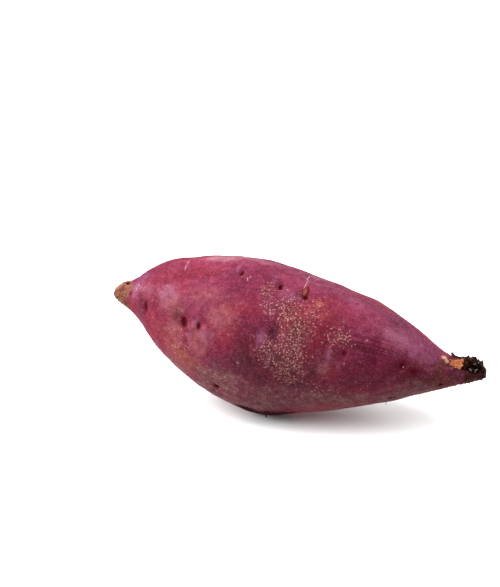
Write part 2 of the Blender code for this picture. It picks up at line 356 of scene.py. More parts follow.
# Small holes where side roots broke off: distance along, angle, half lengths along and round, depth. Each
# has a lip, placed in half lengths from its middle, as a share of its depth.
LIP_PLACE, LIP_NARROWNESS, LIP_SHARE = 1.9, 3, 0.2
HOLES = [
    (62.3, 17, 0.8, 1.6, 0.6), (79.8, 19.5, 1.1, 1.8, 1.1), (91, 24.5, 1, 1.3, 0.9),
    (57.7, 117, 1.3, 0.9, 0.7), (8.2, 17, 0.9, 0.9, 0.6), (128.5, 140, 1.8, 1, 0.7),
    (147.5, 116, 0.9, 0.7, 0.5), (52, -52, 0.9, 1.4, 0.6), (101, -38, 1, 1.8, 0.6),
    (88, -118, 1.1, 1.2, 0.6), (118, 168, 1.2, 1.2, 0.5),
]

# Other small marks: distance along, angle, half lengths along and round, and lean in degrees.
SLITS = [(90.3, 19, 1.8, 4.2, 8), (101.4, -35, 1.2, 2.6, -10)]
SLIT_DEPTH = 0.5
TAN_SCARS = [(89.9, 17.5, 0.95, 3, 8), (80.3, 19, 0.4, 1, 15), (101.2, -35, 0.8, 1.9, -10)]
LUMPS = [(147.9, 22.5, 1.2, 1.3, 0), (149.2, 32, 0.9, 1.2, 30)]
# Painted glints of light in the burnt hollow.
GLINTS = [(160.2, 27, 0.8, 0.6, 20), (158.6, 56, 0.9, 0.35, -50), (161, 48, 0.9, 0.3, 40)]
# Pale streaks: thin white scratches, and painted highlights on the lit lips above the hole at 66 along and the
# slit at 89 along, and a glint at 133.3 along.
PALE_STREAKS = [
    (66.2, 23.5, 0.2, 1.2, 28), (66.9, 20, 0.15, 0.8, -20), (88.4, -5.5, 0.35, 0.8, 5),
    (88.5, -1, 0.18, 2, 8), (88.9, 5.5, 0.15, 2, 4), (89.1, 12, 0.15, 1.7, 0),
    (36, 5, 0.16, 1.4, -12), (36.6, 17, 0.16, 2, 14), (15.6, 46, 0.2, 0.9, 60),
    (17, 52, 0.2, 0.7, -50), (14.4, 53, 0.2, 0.8, 10), (133.3, 75.5, 0.3, 0.35, 0),
]

# Marks in the order they are painted: name, edge, cover, and colour or tones.
ROUND_HOLES = [(*place, 0) for *place, _ in HOLES]
MARKS = [
    ("corky", "cork", "mottle", 1.6, 0.2, 1.1, 0.9, "cork"),
    # Painted shade round the eyes, then their dark cores: partly the eyes' own colour, partly painted shade in
    # the hollows.
    ("eye", "hollow", "mottle", 0.5, 0.05, 0.5, 0.7, DEEP),
    ("core", "hollow", "mottle", 0.3, 0.3, 0.6, 1, HOLLOW),
    ("stain", ROUND_HOLES, "crumb", 0.9, 1.5, 1, 0.7, SCAR_BROWN),
    ("slit", SLITS, "crumb", 0.7, 1.05, 0.8, 0.9, SCAR_BROWN),
    # Dark middles of the holes: partly the scars' own colour, partly painted shade in the hollows.
    ("pit", ROUND_HOLES, "crumb", 0.7, 1, 0.65, 0.95, HOLE),
    ("tan_scar", TAN_SCARS, "crumb", 0.6, 1.05, 0.7, 1, "scar"),
    ("streak", PALE_STREAKS, "crumb", 0.9, 1.3, 0.6, 0.55, STREAK),
    # Painted contact shade along the foot.
    ("wet", "wet", "mottle", 0.7, 0.26, 0.56, 0.95, CONTACT_SHADE),
    ("rim", "rim", "mottle", 1, 0.2, 0.7, 0.85, RIM_BROWN),
    ("peel", "peel", "grain", 1.2, 0.3, 0.7, 0.75, PEEL),
    ("torn", "torn", "grain", 0.7, 0.4, 0.6, 1, "bare"),
    ("lump", LUMPS, "crumb", 1, 1.2, 0.7, 0.9, LUMP),
    ("charred", "char", "mottle", 0.9, 0.35, 0.6, 1, "burnt"),
    ("glint", GLINTS, "crumb", 1, 1.1, 0.7, 0.9, GLINT),
]

# The small pieces and the floor: size of the mottling, detail, where the second colour sets in and is full or,
# for the floor, its share, roughness, depth of the bumps and shine. Then the crust's unevenness and glints.
CRUST_LOOK = (0.9, 3, (0.46, 0.66), 0.35, 0.1, 0.15)
CRUST_UNEVEN, GLINT_RAGGED, GLINT_EDGE = 0.4, 1.2, (1.7, 1.2)
ROOTLET_LOOK = (0.8, 2, (0.40, 0.60), 0.6, 0.03, 0.4)
FLOOR_LOOK = (400, 2, 0.02, 0.9, 0.01, 0.1)

# Camera: the photograph's view, aimed at the middle of the picture.
CAMERA_AZIMUTH = 18.0
CAMERA_ELEVATION = 20.0
CAMERA_TARGET = (-23.2, 11.5, 46.0)
CAMERA_DISTANCE = 600.5
CAMERA_LENS = 85.0
CAMERA_SENSOR = 36.0
CAMERA_CLIP = 0.01

# Dried peel that stands along the top of the bare strip: distance along, angle, length, width and lean back.
STANDING_PEEL = [
    (151.4, -10, 3, 2.6, 0.6), (152.6, -9, 1, 2.4, 0.2), (153.8, -8, 0.9, 2.6, -0.2),
    (155, -7, 1.1, 2.4, 0.3), (156, -6, 1.2, 2.2, 0.0),
]
STANDING_THICKNESS = 0.8
CRUST_FLAKES = 150
CRUST_SEED = 5
FLAKE_LENGTH, FLAKE_WIDTH, FLAKE_THICKNESS = (0.8, 2.0), (0.4, 1.1), (0.25, 0.5)
FLAKE_RISE, CRUST_ON = (0.0, 0.45), 0.7

# A flake's rings, the share that is sunk, greatest bend, and how its width and thickness taper and vary.
FLAKE_RINGS, FLAKE_SUNK, FLAKE_BEND = 6, 0.25, 0.25
FLAKE_TAPER, TAPER_POWER, UNEVEN_WIDTH = 0.75, 1.5, (0.75, 1.25)
FLAKE_THINNING, UNEVEN_THICKNESS = 0.6, (0.7, 1.3)

# Hair roots: distance along, angle, length and thickness. Then the rings of each, the share that is sunk,
# taper, radius of the end, and drift.
ROOTLETS = [
    (126, 152, 1.6, 0.35), (158.5, 150, 1.5, 0.5), (156.9, 158, 1.2, 0.4), (76, 149, 1.3, 1.0),
    (139, 148, 1.2, 0.3), (148, 40, 0.9, 0.3), (60, -120, 3, 0.3), (95, -140, 2.6, 0.35),
    (118, -104, 2.2, 0.3), (30, -130, 2.4, 0.3), (146, -80, 1.8, 0.35), (5, 60, 0.8, 0.5),
    (4, -70, 0.9, 0.5),
]
ROOTLET_SEED = 3
ROOTLET_RINGS, ROOTLET_SUNK, ROOTLET_TAPER, ROOTLET_END = 8, 0.08, 0.8, 0.02
DRIFT_AHEAD, DRIFT_ROUND = 0.6, 0.5
TUBE_SIDES = 6

# Light: a wide soft key from the left, a paler one from behind on the right, and dim white all round. Each
# sun has the direction towards it, strength and spread.
SUNS = {
    "key_light": ((-1.0, -0.2, 0.75), 5.4, 80.0),
    "back_light": ((0.6, 0.8, 0.7), 2.4, 80.0),
}
FLOOR_SUN = ((-0.35, -0.55, 1.0), 3.4, 68.0)
OVERHEAD_LIGHT = 0.6
LEVEL_LIGHT = 0.15
BELOW_LIGHT = 0.70
HORIZON = (0.47, 0.53)

FLOOR_SIZE = 12.0
FLOOR_COLOUR = (0.9, 0.9, 0.9, 1.0)
FLOOR_SHADE = (0.84, 0.84, 0.84, 1.0)


def linear(colour):
    """A colour from 0 to 255 as the linear values that shaders take."""
    share = np.array(colour) / 255
    value = np.where(share <= 0.04045, share / 12.92, ((share + 0.055) / 1.055) ** 2.4)
    return (*value.tolist(), 1.0)


def smooth_step(value, low, high):
    share = np.clip((value - low) / (high - low), 0, 1)
    return share * share * (3 - 2 * share)


def fade_out(value, low, high):
    """1 below low and 0 above high, smoothly."""
    return smooth_step(-value, -high, -low)


def band(value, low, high, soft):
    """1 between low and high, with soft edges."""
    return smooth_step(value, low - soft, low + soft) * fade_out(value, high - soft, high + soft)


def add_object(name, data):
    added = bpy.data.objects.new(name, data)
    bpy.context.scene.collection.objects.link(added)
    return added


def new_mesh(name, vertices, faces):
    mesh = bpy.data.meshes.new(name)
    mesh.from_pydata(vertices, [], faces)
    mesh.shade_smooth()
    return mesh


# Form

def spline_samples():
    """Rows of distance along, height of the centre and radius, closely spaced down the whole root."""
    rings = np.array(CONTROL_RINGS) * (LENGTH, BELLY, BELLY)
    mirrored = (1, 1, -1)
    rows = np.vstack([rings[1] * mirrored, rings, rings[-2] * mirrored])
    place = np.linspace(0, len(rings) - 1, SPLINE_SAMPLES)
    first = np.minimum(place.astype(int), len(rings) - 2)
    f = place - first
    weights = ((1 - f) ** 3, 3 * f**3 - 6 * f**2 + 4, -3 * f**3 + 3 * f**2 + 3 * f + 1, f**3)
    return sum(w[:, None] * rows[first + k] for k, w in enumerate(weights)) / 6


def ring_rows():
    """The samples that become rings: close together where the root is thin."""
    samples = spline_samples()
    gaps = np.linalg.norm(np.diff(samples, axis=0), axis=1)
    radius = samples[1:, 2]
    steps = gaps / (TIP_STEP + (BELLY_STEP - TIP_STEP) * radius / BELLY)
    count = np.concatenate([[0.0], np.cumsum(steps)])
    wanted = np.linspace(0, count[-1], round(count[-1]) + 1)
    return np.stack([np.interp(wanted, count, samples[:, k]) for k in range(3)], axis=1)


def back_eyes():
    """Eyes in loose rows on the sides away from the front, with the solid's seeded jitter."""
    rng = np.random.default_rng(BACK_SEED)
    eyes = []
    for angle, first, last in BACK_ROWS:
        for along in np.arange(first, last, BACK_SPACING):
            size = rng.uniform(*BACK_SIZE)
            place = (along + rng.uniform(-BACK_SHIFT, BACK_SHIFT), angle + rng.uniform(-BACK_TURN, BACK_TURN))
            eyes.append((*place, size, size * rng.uniform(*BACK_SHAPE), rng.uniform(*BACK_DEPTH)))
    return eyes


def waves(points, wavelength, seed, stretch):
    """A smooth random field with a spread of about 1, its waves longer along the root by stretch."""
    rng = np.random.default_rng(seed)
    total = np.zeros(points.shape[:-1])
    for _ in range(WAVE_COUNT):
        direction = rng.normal(size=3)
        direction /= np.linalg.norm(direction)
        direction[0] /= stretch
        size = math.tau / (wavelength * rng.uniform(*WAVE_SPREAD))
        total += np.cos(points @ (direction * size) + rng.uniform(0, math.tau))
    return total / math.sqrt(WAVE_COUNT / 2)


def rough(points, rows):
    """The sum of several such fields, each given as height, wavelength, seed and stretch."""
    return sum(height * waves(points, *row) for height, *row in rows)


def ripples(value, rows):
    """The sum of several sines of a value, each given as size, rate and shift."""
    return sum(size * np.sin(value * rate + shift) for size, rate, shift in rows)


def eye_cores():
    """The dark cores of the eyes, partly painted shade in their hollows: on the front as placed, and on the
    other sides in each eye's middle.
    """
    hidden = [
        (along, angle, CORE_SHARE * length, CORE_SHARE * width, CORE_STRENGTH * depth)
        for along, angle, width, length, depth in back_eyes()
    ]
    return EYE_CORES + hidden


class Form:
    """The skin as rings of points, with each point's distance along, angle and radius."""

    def __init__(self):
        rows = ring_rows()
        along, height, radius = (rows[:, k, None] for k in range(3))
        angle = np.linspace(0, math.tau, POINTS_ROUND, endpoint=False)[None, :]
        self.along, self.angle, self.radius = np.broadcast_arrays(along, angle, radius)
        self.degrees = np.degrees((self.angle + math.pi) % math.tau - math.pi)
        self.outwards = np.stack([0 * self.angle, -np.sin(self.angle), np.cos(self.angle)], axis=2)
        skin = self.skin_radius()
        sideways = SIDE_BEND * np.sin(math.tau * BEND_TURNS * self.along / LENGTH + BEND_START)
        y, z = sideways - skin * np.sin(self.angle), height + skin * np.cos(self.angle)
        self.points = np.stack([self.along, y, z], axis=2)
        self.torn, self.peel = self.torn_strip()
        self.relief()
        self.break_stem()
        self.char, self.rim = self.blacken()
        self.set_down()

    def spread(self, along, angle, half_along, half_round):
        """Squared distance from a place on the skin, in half lengths."""
        turn = (self.angle - math.radians(angle) + math.pi) % math.tau - math.pi
        arc = turn * np.maximum(self.radius, 1)
        return (arc / half_round) ** 2 + ((self.along - along) / half_along) ** 2

    def mark(self, places):
        """The strongest of several soft round marks, from 0 to 1."""
        value = np.zeros_like(self.along)
        for along, angle, half_along, half_round, strength in places:
            value = np.maximum(value, strength * np.exp(-self.spread(along, angle, half_along, half_round)))
        return value

    def skin_radius(self):
        shares = [
            share * np.cos(lobes * self.angle + np.radians(phase + twist * self.along))
            for lobes, share, phase, twist in LOBES
        ]
        skin = self.radius * (1 + sum(shares))
        for along, angle, half_round, half_along, depth in FRONT_EYES + back_eyes():
            skin = skin - depth * np.exp(-self.spread(along, angle, half_along, half_round))
        for along, angle, half_along, half_round, depth in HOLES:
            spread = self.spread(along, angle, half_along, half_round)
            lip = np.exp(-((np.sqrt(spread) - LIP_PLACE) ** 2) * LIP_NARROWNESS)
            skin = skin - depth * (np.exp(-spread) - LIP_SHARE * lip)
        for along, angle, half_along, half_round, _ in SLITS:
            skin = skin - SLIT_DEPTH * np.exp(-self.spread(along, angle, half_along, half_round) ** 2)
        return skin - CORE_DEPTH * self.mark(eye_cores())

    def relief(self):
        """Low lumps and lengthwise wrinkles, too coarse for the material's bump."""
        body = smooth_step(self.radius, *BODY_RADIUS)
        ends = (1 - body) * smooth_step(self.radius, *END_RADIUS)
        amount = body * rough(self.points, BODY_RELIEF) + ends * rough(self.points, END_RELIEF)
        self.points = self.points + amount[..., None] * self.outwards

    def break_stem(self):
        """Cuts the stem end down to a leaning break and hollows it, as in the solid but rougher."""
        lean, turn = math.radians(BREAK_LEAN), math.radians(BREAK_ANGLE)
        forwards = np.array([1, 0, 0])
        outwards = np.array([0, -math.sin(turn), math.cos(turn)])
        normal = math.sin(lean) * forwards + math.cos(lean) * outwards
        lengthways = math.cos(lean) * forwards - math.sin(lean) * outwards
        across = np.cross(normal, lengthways)
        ring = np.abs(self.points[:, 0, 0] - BREAK_ALONG).argmin()
        middle = self.points[ring].mean(axis=0) + BREAK_HEIGHT * outwards

        offset = self.points - middle
        u, v = offset @ lengthways / HOLLOW_LONG, offset @ across / HOLLOW_WIDE
        in_face = np.arctan2(v, u)
        from_middle = np.hypot(u, v) / (1 + ripples(in_face, HOLLOW_RIPPLES))
        rim = RAGGED_RIM * np.sin(RIM_LOBES * in_face) * np.minimum(from_middle, 1)
        over = offset @ normal - rim
        inside = np.clip((over + RIM_BLEND / 2) / RIM_BLEND, 0, 1)
        hollow = HOLLOW_DEPTH * np.clip(1 - from_middle**HOLLOW_POWER, 0, 1) * inside
        cut = np.where(self.points[..., 0] > BREAK_FROM, np.maximum(over, 0) + hollow, 0)
        cut = cut + TORN_DEPTH * self.torn
        self.points = self.points - cut[..., None] / math.cos(lean) * outwards

    def blacken(self):
        """Roughens the blackened end, from the hollow to the tip on top and the tip alone below."""
        below = smooth_step(np.abs(self.degrees - CHAR_TOP), *CHAR_SIDES)
        edge = CHAR_FROM + CHAR_BELOW * below + rough(self.points, CHAR_EDGE)
        char = smooth_step(self.along, edge - CHAR_BLEND, edge + CHAR_BLEND)
        crust = char * smooth_step(self.radius, *CRUST_RADIUS)
        crust = crust * (rough(self.points, CRUST_RELIEF) - CRUST_SINK)
        self.points = self.points + crust[..., None] * self.outwards
        return char, smooth_step(self.along, *DARK_RIM) * below

    def torn_strip(self):
        """The bare strip where skin has been pulled off the top of the stem, and the brown peel round it."""
        start = self.along + ripples(self.angle, START_RIPPLES)
        sides = self.along + ripples(self.angle, SIDE_RIPPLES)
        top = np.interp(sides, *zip(*TORN_TOP)) + ripples(self.along, TOP_RIPPLES)
        foot = np.interp(sides, *zip(*TORN_FOOT)) + ripples(self.along, FOOT_RIPPLES)
        bare = band(self.degrees, top, foot, TORN_SOFT) * fade_out(self.along, TORN_TO, TORN_TO + TORN_FADE)
        bare = bare * smooth_step(start, TORN_FROM - TORN_BLEND, TORN_FROM + TORN_BLEND)
        peel = band(self.degrees, top - PEEL_ABOVE, foot + PEEL_BELOW, PEEL_SOFT)
        return bare, peel * smooth_step(start, TORN_FROM - PEEL_AHEAD, TORN_FROM)

    def set_down(self):
        """Flattens the belly and fits the whole to the solid's box."""
        lift = -self.points[..., 2].min() - FLAT_DEPTH
        self.points[..., 2] = np.maximum(self.points[..., 2] + lift, 0)
        low, high = self.points.min(axis=(0, 1)), self.points.max(axis=(0, 1))
        self.points = BOX_LOW + (self.points - low) * (BOX_HIGH - BOX_LOW) / (high - low)


def make_mesh(name, points, masks):
    """One closed skin: quads between the rings and a fan on each tip, with a mask attribute for each mark."""
    rings, round_ = points.shape[0] - 2, points.shape[1]
    tips = points[[0, -1]].mean(axis=1)
    vertices = np.vstack([points[1:-1].reshape(-1, 3), tips]) * METRES
    first, second = rings * round_, rings * round_ + 1

    ring, place = np.meshgrid(np.arange(rings - 1), np.arange(round_), indexing="ij")
    here, after = ring * round_ + place, ring * round_ + (place + 1) % round_
    quads = np.stack([here, after, after + round_, here + round_], axis=-1).reshape(-1, 4)
    places = np.arange(round_)
    after = (places + 1) % round_
    last_ring = (rings - 1) * round_
    fan_one = np.stack([after, places, np.full(round_, first)], axis=-1)
    fan_two = np.stack([last_ring + places, last_ring + after, np.full(round_, second)], axis=-1)
    faces = quads.tolist() + fan_one.tolist() + fan_two.tolist()

    mesh = new_mesh(name, vertices.tolist(), faces)
    for mask, values in masks.items():
        inner = np.concatenate([values[1:-1].ravel(), [values[0].mean(), values[-1].mean()]])
        mesh.attributes.new(mask, "FLOAT", "POINT").data.foreach_set("value", inner.astype(np.float32))
    return mesh


def add_grown_place(mesh, form):
    """A place for each point on a straight round bar, so that fibres can follow the root's length."""
    bar = GRAIN_RADIUS * form.outwards
    bar[..., 0] = form.along
    places = np.vstack([bar[1:-1].reshape(-1, 3), bar[0, :1], bar[-1, :1]])
    grown = mesh.attributes.new("grown", "FLOAT_VECTOR", "POINT").data
    grown.foreach_set("vector", places.astype(np.float32).ravel())


def unroll(mesh, form):
    """The texture map: unrolled from a seam underneath, and to scale all along."""
    gaps = np.linalg.norm(np.diff(form.points.mean(axis=1), axis=0), axis=1)
    walked = np.concatenate([[0.0], np.cumsum(gaps)])
    rings, round_ = form.points.shape[0] - 2, form.points.shape[1]
    corners = np.zeros(len(mesh.loops), dtype=np.int32)
    mesh.loops.foreach_get("vertex_index", corners)
    ring = np.where(corners < rings * round_, corners // round_ + 1, 0)
    ring = np.where(corners == rings * round_ + 1, rings + 1, ring)
    turn = (corners % round_ / round_ + 0.5) % 1
    starts = np.zeros(len(mesh.polygons), dtype=np.int32)
    mesh.polygons.foreach_get("loop_start", starts)
    face = np.searchsorted(starts, np.arange(len(corners)), side="right") - 1
    # A face that ends at the seam has corners at 0 that belong at 1.
    at_tip = ring % (rings + 1) == 0
    widest = np.maximum.reduceat(np.where(at_tip, 0, turn), starts)
    turn = np.where((widest[face] > 1 - SEAM_SHARE) & (turn < SEAM_SHARE), turn + 1, turn)
    turn = np.where(at_tip, 0.5, turn)
    width = MAP_SQUEEZE * form.radius[ring, 0] * math.tau / walked[-1]
    ahead = MAP_MARGIN + (1 - 2 * MAP_MARGIN) * walked[ring] / walked[-1]
    uv = np.stack([ahead, 0.5 + (turn - 0.5) * width], axis=1)
    mesh.uv_layers.new(name="OFBake").uv.foreach_set("vector", uv.astype(np.float32).ravel())


# Materials

class Paint:
    """Builds one node material, step by step."""

    def __init__(self, name):
        self.material = bpy.data.materials.new(name)
        self.material.use_nodes = True
        self.tree = self.material.node_tree
        self.shader = self.tree.nodes["Principled BSDF"]
        self.place = self.tree.nodes.new("ShaderNodeTexCoord").outputs["Object"]

    def put(self, value, socket):
        if isinstance(value, bpy.types.NodeSocket):
            self.tree.links.new(value, socket)
        else:
            socket.default_value = value

    def node(self, kind, inputs, **settings):
        node = self.tree.nodes.new("ShaderNode" + kind)
        for key, value in settings.items():
            setattr(node, key, value)
        for key, value in inputs.items():
            self.put(value, node.inputs[key])
        return node

    def mask(self, name):
        return self.node("Attribute", {}, attribute_name=name).outputs["Fac"]

    def math(self, operation, *values, clamp=False):
        node = self.node("Math", dict(enumerate(values)), operation=operation, use_clamp=clamp)
        return node.outputs[0]

    def stretched(self, stretch):
        """Object coordinates in millimetres, squeezed along the root so that a pattern is longer that way."""
        scale = (1 / (METRES * stretch), 1 / METRES, 1 / METRES)
        return self.node("Mapping", {"Vector": self.place, "Scale": scale}).outputs[0]

    def lengthways(self, stretch):
        """The same, following the root's own length from tip to tip."""
        grown = self.node("Attribute", {}, attribute_name="grown").outputs["Vector"]
        return self.node("Mapping", {"Vector": grown, "Scale": (1 / stretch, 1, 1)}).outputs[0]

    def noise(self, size, detail, roughness=0.55, stretch=1.0, grown=False, shift=0.0):
        """Cloudy noise around 0.5, with patches about size millimetres across."""
        inputs = {
            "Vector": self.lengthways(stretch) if grown else self.stretched(stretch),
            "Scale": 1 / size,
            "Detail": detail,
            "Roughness": roughness,
            "W": shift,
        }
        return self.node("TexNoise", inputs, noise_dimensions="4D").outputs["Fac"]

    def cells(self, size):
        """Distance from the middle of a Voronoi cell, and two random values for each cell."""
        inputs = {"Vector": self.stretched(1.0), "Scale": 1 / size}
        node = self.node("TexVoronoi", inputs)
        randoms = self.node("SeparateColor", {"Color": node.outputs["Color"]}).outputs
        return node.outputs["Distance"], randoms[0], randoms[1]

    def spot(self, form, along, angle, half_along, half_round, lean):
        """Distance from a place on the skin, in half lengths of a small oval mark that may lean."""
        point, outwards, ahead, around = surface_at(form, along, angle)
        turn = math.radians(lean)
        long_way = ahead * math.cos(turn) + around * math.sin(turn)
        axes = Matrix((long_way, np.cross(outwards, long_way), outwards)).transposed()
        inputs = {
            "Vector": self.place,
            "Location": Vector(point) * METRES,
            "Rotation": axes.to_euler(),
            "Scale": Vector((half_along, half_round, SPOT_REACH)) * METRES,
        }
        local = self.node("Mapping", inputs, vector_type="TEXTURE").outputs[0]
        return self.node("VectorMath", {0: local}, operation="LENGTH").outputs["Value"]

    def nearest(self, form, marks):
        """Distance from the nearest of several small marks."""
        near, *others = [self.spot(form, *mark) for mark in marks]
        for spot in others:
            near = self.math("MINIMUM", near, spot)
        return near

    def step(self, value, low, high):
        """0 below low and 1 above high, smoothly, or the other way round where low is the larger."""
        inputs = {"Value": value, "From Min": low, "From Max": high}
        node = self.node("MapRange", inputs, interpolation_type="SMOOTHSTEP")
        return node.outputs["Result"]

    def mix(self, amount, under, over, blend="MIX"):
        node = self.node("Mix", {}, data_type="RGBA", blend_type=blend, clamp_factor=True)
        for key, value in ((0, amount), (6, under), (7, over)):
            self.put(value, node.inputs[key])
        return node.outputs[2]

    def finish(self, colour, roughness, height, depth, shine):
        """Links or sets the colour, roughness, bump and shine on the shader's own sockets."""
        bump = self.node("Bump", {"Height": height, "Distance": depth * METRES, "Strength": 1.0})
        self.put(colour, self.shader.inputs["Base Color"])
        self.put(roughness, self.shader.inputs["Roughness"])
        self.put(bump.outputs[0], self.shader.inputs["Normal"])
        self.shader.inputs["Specular IOR Level"].default_value = shine
        return self.material


def skin_masks(form):
    """The marks of the skin, each from 0 to 1 at every point."""
    warp = rough(form.points, MASK_WARP)
    facing_down = -np.cos(form.angle)
    low = smooth_step(facing_down + LOW_WARP * warp, *LOW_SLOPE) * smooth_step(form.along, *LOW_ALONG)
    lowest = LOWEST_SHARE * smooth_step(facing_down, *LOWEST_SLOPE)
    lowest = lowest * smooth_step(form.along + LOWEST_WARP * warp, *LOWEST_ALONG)
    underside = np.maximum(low, lowest) * fade_out(form.along, *NECK_ALONG)
    return {name: form.mark(places) for name, *_, places in PATCHES} | {
        "speckled": form.mark(CORK_SPECKS),
        "fibrous": form.mark(LONG_FIBRES),
        "hollow": form.mark(eye_cores()),
        "wet": form.mark(CONTACT_SHADE_PLACES),
        "underside": underside - form.mark(DUST_GAPS),
        "cork": fade_out(form.along + CORK_WARP * warp, *CORK_ALONG),
    } | {name: getattr(form, name) for name in ("peel", "rim", "char", "torn")}


def skin_material(form):
    paint = Paint("skin")
    noises = {name: paint.noise(*row, shift=shift) for shift, (name, row) in enumerate(NOISES.items(), 1)}
    distance, random, speck_size = paint.cells(SPECK_CELL)

    def share(value, amount):
        return paint.math("MULTIPLY", value, amount)

    def plus(value, source, amount, clamp=False):
        return paint.math("ADD", value, share(source, amount), clamp=clamp)

    def ragged_sum(value, by, amount):
        return plus(value, paint.math("SUBTRACT", noises[by], 0.5), amount)

    def zone(source, by, ragged, low, high):
        """Where a mask is strong or near small marks, with an edge made ragged by a noise."""
        if not isinstance(source, str):
            return paint.step(ragged_sum(paint.nearest(form, source), by, ragged), low, high)
        strength = paint.mask(source)
        inside = paint.step(ragged_sum(strength, by, ragged), low, high)
        return share(paint.step(strength, 0.0, MASK_START), inside)

    def cover(colour, where, amount, over):
        return paint.mix(share(where, amount), colour, tones[over] if over in tones else linear(over))

    def darken(colour, where, amount, times):
        return paint.mix(share(where, amount), colour, (*times, 1.0), blend="MULTIPLY")

    noises["edge"] = share(paint.math("ADD", noises["cloudy"], noises["mottle"]), 0.5)
    noises["dust"] = ragged_sum(ragged_sum(noises["edge"], "grain", DUST_GRAIN), "crumb", DUST_CRUMB)
    noises["speck_size"] = speck_size
    tones = {
        name: paint.mix(paint.step(noises[by], low, high), linear(one), linear(two))
        for name, (by, low, high, one, two) in TONES.items()
    }
    tones["cork"] = cover(tones["cork"], paint.step(noises["grain"], *CORK_GRAIN), CORK_COVER, CORK_DARK)
    places = {name: zone(*row) for name, *row, _, _ in MARKS}
    places["glint"] = share(places["charred"], places["glint"])

    # The skin's colours, from broad to small: patches, some of them painted shade and highlights, dust, then
    # blotches, fibres, hoops and grain.
    colour = tones["body"]
    for name, over, amount, ragged, _ in PATCHES:
        colour = cover(colour, zone(name, "edge", ragged, *PATCH_EDGE), amount, over)
    colour = cover(colour, zone(*DUST_EDGE), DUST_COVER, "dust")
    ways = {"cover": cover, "darken": darken}
    for name, low, high, amount, way, tint in VARIATION:
        colour = ways[way](colour, paint.step(noises[name], low, high), amount, tint)
    long_lines = share(paint.mask("fibrous"), paint.step(noises["long_fibres"], *LONG_EDGE))
    colour = darken(colour, long_lines, LONG_COVER, LONG_TINT)

    # Tan cork specks of uneven size and strength, crowded where the mask is strong, and a few strays.
    crowd = ragged_sum(share(paint.mask("speckled"), SPECK_CROWD), "mottle", SPECK_CLUMPS)
    present = paint.step(paint.math("SUBTRACT", crowd, random), 0.0, SPECK_FADE)
    size = ragged_sum(ragged_sum(distance, "crumb", SPECK_RAGGED), "speck_size", SPECK_UNEVEN)
    places["speck"] = share(present, paint.step(size, *SPECK_EDGE))
    colour = cover(colour, zone(*GROUND_EDGE), GROUND_COVER, SPECK_GROUND)
    strength = plus(SPECK_STRENGTH, speck_size, SPECK_ADDED)
    colour = cover(colour, places["speck"], strength, "speck")

    # Painted sheen: an even pale veil over all the skin, partly its waxy bloom.
    colour = paint.mix(1.0, colour, WAXY_BLOOM_AND_SHEEN, blend="ADD")
    for name, *_, amount, over in MARKS:
        colour = cover(colour, places[name], amount, over)

    values = noises | places
    roughness, height = ROUGHNESS, 0.0
    for name, amount in ROUGHER.items():
        roughness = plus(roughness, values[name], amount, clamp=True)
    for name, amount in BUMPS.items():
        height = plus(height, values[name], amount)
    coarse = plus(share(values["charred"], BURNT_BUMP), values["corky"], CORK_BUMP)
    height = plus(height, coarse, values["grain"])
    return paint.finish(colour, roughness, height, BUMP_DEPTH, SHINE)


def crust_material(form):
    """Burnt-looking flakes of dried peel and wood, with a few pale glints painted on as highlights."""
    paint = Paint("stem_crust")
    size, detail, tones, roughness, depth, shine = CRUST_LOOK
    mottle = paint.noise(size, detail, shift=1.0)
    spots = paint.math("ADD", paint.nearest(form, GLINTS), paint.math("MULTIPLY", mottle, GLINT_RAGGED))
    colour = paint.mix(paint.step(mottle, *tones), linear(CHAR), linear(CHAR_BROWN))
    colour = paint.mix(paint.step(spots, *GLINT_EDGE), colour, linear(GLINT))
    roughness = paint.math("ADD", roughness, paint.math("MULTIPLY", mottle, CRUST_UNEVEN))
    return paint.finish(colour, roughness, mottle, depth, shine)


def rootlet_material():
    paint = Paint("rootlet")
    size, detail, tones, roughness, depth, shine = ROOTLET_LOOK
    mottle = paint.noise(size, detail, shift=1.0)
    colour = paint.mix(paint.step(mottle, *tones), linear(SCAR_BROWN), linear(NECK_BROWN))
    return paint.finish(colour, roughness, mottle, depth, shine)


def floor_material():
    paint = Paint("pale_floor")
    size, detail, mottling, roughness, depth, shine = FLOOR_LOOK
    cloud = paint.noise(size, detail)
    colour = paint.mix(paint.math("MULTIPLY", cloud, mottling), FLOOR_COLOUR, FLOOR_SHADE)
    return paint.finish(colour, roughness, cloud, depth, shine)


# Pieces

def add_piece(name, mesh, material):
    mesh.materials.append(material)
    piece = add_object(name, mesh)
    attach(piece, "root")
    return piece


def add_skin(form):
    mesh = make_mesh("skin", form.points, skin_masks(form))
    add_grown_place(mesh, form)
    unroll(mesh, form)
    skin = add_piece("skin", mesh, skin_material(form))
    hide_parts(NODE)


def surface_at(form, along, angle):
    """Point of the skin at a place, and the directions out of it, along it and round it."""
    ring = min(max(np.abs(form.along[:, 0] - along).argmin(), TIP_RINGS), len(form.points) - 1 - TIP_RINGS)
    column = round(math.radians(angle) / math.tau * POINTS_ROUND) % POINTS_ROUND
    point = form.points[ring, column]
    ahead = form.points[ring + NEIGHBOUR, column] - form.points[ring - NEIGHBOUR, column]
    around = form.points[ring, (column + NEIGHBOUR) % POINTS_ROUND] - form.points[ring, column - NEIGHBOUR]
    outwards = np.cross(around, ahead)
    outwards /= np.linalg.norm(outwards)
    ahead = ahead / np.linalg.norm(ahead)
    return point, outwards, ahead, np.cross(outwards, ahead)


def merged_mesh(name, parts):
    """One mesh from several lists of points, in millimetres, and faces, kept inside the solid's box."""
    vertices, faces = [], []
    for points, part_faces in parts:
        faces += [[k + len(vertices) for k in face] for face in part_faces]
        vertices += (np.clip(points, BOX_LOW, BOX_HIGH) * METRES).tolist()
    return new_mesh(name, vertices, faces)


